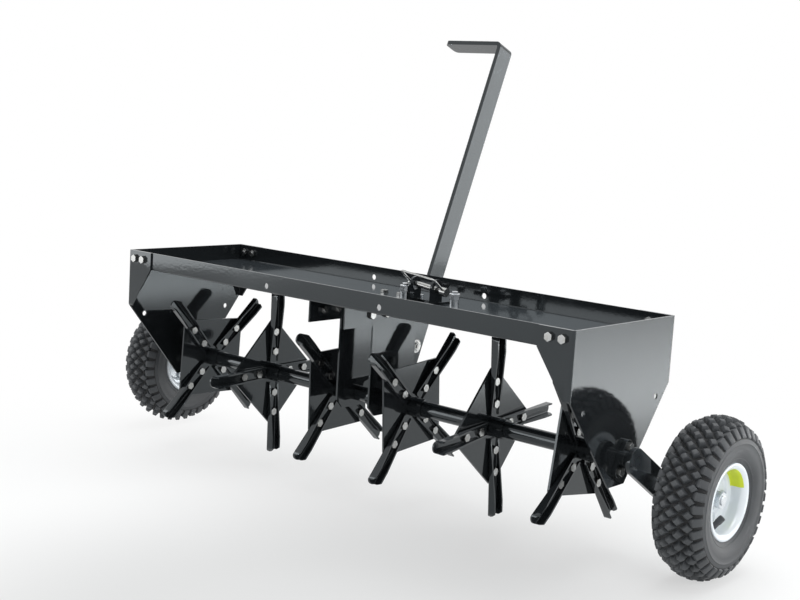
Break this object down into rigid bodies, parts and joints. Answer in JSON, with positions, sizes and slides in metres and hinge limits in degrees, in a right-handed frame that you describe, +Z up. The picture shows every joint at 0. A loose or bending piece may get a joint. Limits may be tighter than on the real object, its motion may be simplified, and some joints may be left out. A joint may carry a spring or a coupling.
{
  "type": "tow behind aerator",
  "caption": "Tow-behind lawn plug aerator: ballast tray on end plates, spoon tine stars on a cranked axle, air-tyred wheels and a lift lever that lowers the tines.",
  "frame": {"origin": "On the ground under the middle of the whole machine's box, transport position", "axes": "+X along the width towards the star faces that carry the spoons, +Y towards the lift lever at the rear, +Z up"},
  "size_m": [1.349, 0.5156, 0.834],
  "materials": {
    "black_paint": "gloss black powder coat",
    "zinc_steel": "bright zinc plate",
    "rim_paint": "silver-white satin paint",
    "tyre": "matt moulded rubber",
    "valve_rubber": "matt black rubber"
  },
  "bodies": {
    "frame": {"tray": "black_paint", "end_plate_left": "black_paint", "end_plate_right": "black_paint", "flange_bolts": "zinc_steel", "drawbar_channel": "black_paint", "channel_bolts": "zinc_steel", "hanger_left": "black_paint", "hanger_right": "black_paint", "hanger_bolts": "zinc_steel", "drawbar_bolts": "zinc_steel", "axle_bearings": "black_paint", "bearing_bolts": "zinc_steel", "lever_pivot": "zinc_steel", "lever_spacer": "zinc_steel", "pin_bracket": "black_paint", "pin_bracket_bolts": "zinc_steel", "clamp_studs": "zinc_steel", "hitch_pin": "zinc_steel"},
    "axle": {"axle_shaft": "black_paint", "drive_plate": "black_paint", "spacer_tubes": "black_paint", "crank_left": "black_paint", "crank_right": "black_paint", "crank_sleeves": "black_paint", "wheel_spindles": "zinc_steel", "spindle_nuts": "zinc_steel"},
    "lever": {"lever_bar": "black_paint", "drive_pin": "zinc_steel"},
    "bail": {"bail": "zinc_steel"},
    "star_1": {"star_plate_1": "black_paint", "spoons_1": "black_paint", "spoon_bolts_1": "zinc_steel"},
    "star_2": {"star_plate_2": "black_paint", "spoons_2": "black_paint", "spoon_bolts_2": "zinc_steel"},
    "star_3": {"star_plate_3": "black_paint", "spoons_3": "black_paint", "spoon_bolts_3": "zinc_steel"},
    "star_4": {"star_plate_4": "black_paint", "spoons_4": "black_paint", "spoon_bolts_4": "zinc_steel"},
    "star_5": {"star_plate_5": "black_paint", "spoons_5": "black_paint", "spoon_bolts_5": "zinc_steel"},
    "star_6": {"star_plate_6": "black_paint", "spoons_6": "black_paint", "spoon_bolts_6": "zinc_steel"},
    "wheel_left": {"tyre_left": "tyre", "rim_outer_left": "rim_paint", "rim_inner_left": "rim_paint", "hub_left": "zinc_steel", "rim_bolts_left": "zinc_steel", "valve_left": "valve_rubber"},
    "wheel_right": {"tyre_right": "tyre", "rim_outer_right": "rim_paint", "rim_inner_right": "rim_paint", "hub_right": "zinc_steel", "rim_bolts_right": "zinc_steel", "valve_right": "valve_rubber"}
  },
  "joints": [
    {"name": "axle_turn", "type": "hinge", "parent": "frame", "child": "axle", "pos_m": [0, -0.09626, 0.18006], "axis": [1, 0, 0], "range_deg": [0, 67]},
    {"name": "lever_swing", "type": "hinge", "parent": "frame", "child": "lever", "pos_m": [0, 0.01874, 0.26106], "axis": [1, 0, 0], "range_deg": [-66, 0]},
    {"name": "wheel_left_spin", "type": "hinge", "parent": "axle", "child": "wheel_left", "pos_m": [-0.6335, -0.01552, 0.13], "axis": [1, 0, 0], "continuous": true},
    {"name": "wheel_right_spin", "type": "hinge", "parent": "axle", "child": "wheel_right", "pos_m": [0.6335, -0.01552, 0.13], "axis": [1, 0, 0], "continuous": true},
    {"name": "star_1_spin", "type": "hinge", "parent": "axle", "child": "star_1", "pos_m": [-0.443, -0.09626, 0.18006], "axis": [1, 0, 0], "continuous": true},
    {"name": "star_2_spin", "type": "hinge", "parent": "axle", "child": "star_2", "pos_m": [-0.266, -0.09626, 0.18006], "axis": [1, 0, 0], "continuous": true},
    {"name": "star_3_spin", "type": "hinge", "parent": "axle", "child": "star_3", "pos_m": [-0.089, -0.09626, 0.18006], "axis": [1, 0, 0], "continuous": true},
    {"name": "star_4_spin", "type": "hinge", "parent": "axle", "child": "star_4", "pos_m": [0.089, -0.09626, 0.18006], "axis": [1, 0, 0], "continuous": true},
    {"name": "star_5_spin", "type": "hinge", "parent": "axle", "child": "star_5", "pos_m": [0.266, -0.09626, 0.18006], "axis": [1, 0, 0], "continuous": true},
    {"name": "star_6_spin", "type": "hinge", "parent": "axle", "child": "star_6", "pos_m": [0.443, -0.09626, 0.18006], "axis": [1, 0, 0], "continuous": true},
    {"name": "bail_swing", "type": "hinge", "parent": "frame", "child": "bail", "pos_m": [0.13627, -0.08426, 0.38812], "axis": [-0.06, 0.8192, -0.5704], "range_deg": [0, 150]}
  ],
  "couplings": [
    {"joint": "lever_swing", "follows": "axle_turn", "ratio": -0.97015}
  ]
}
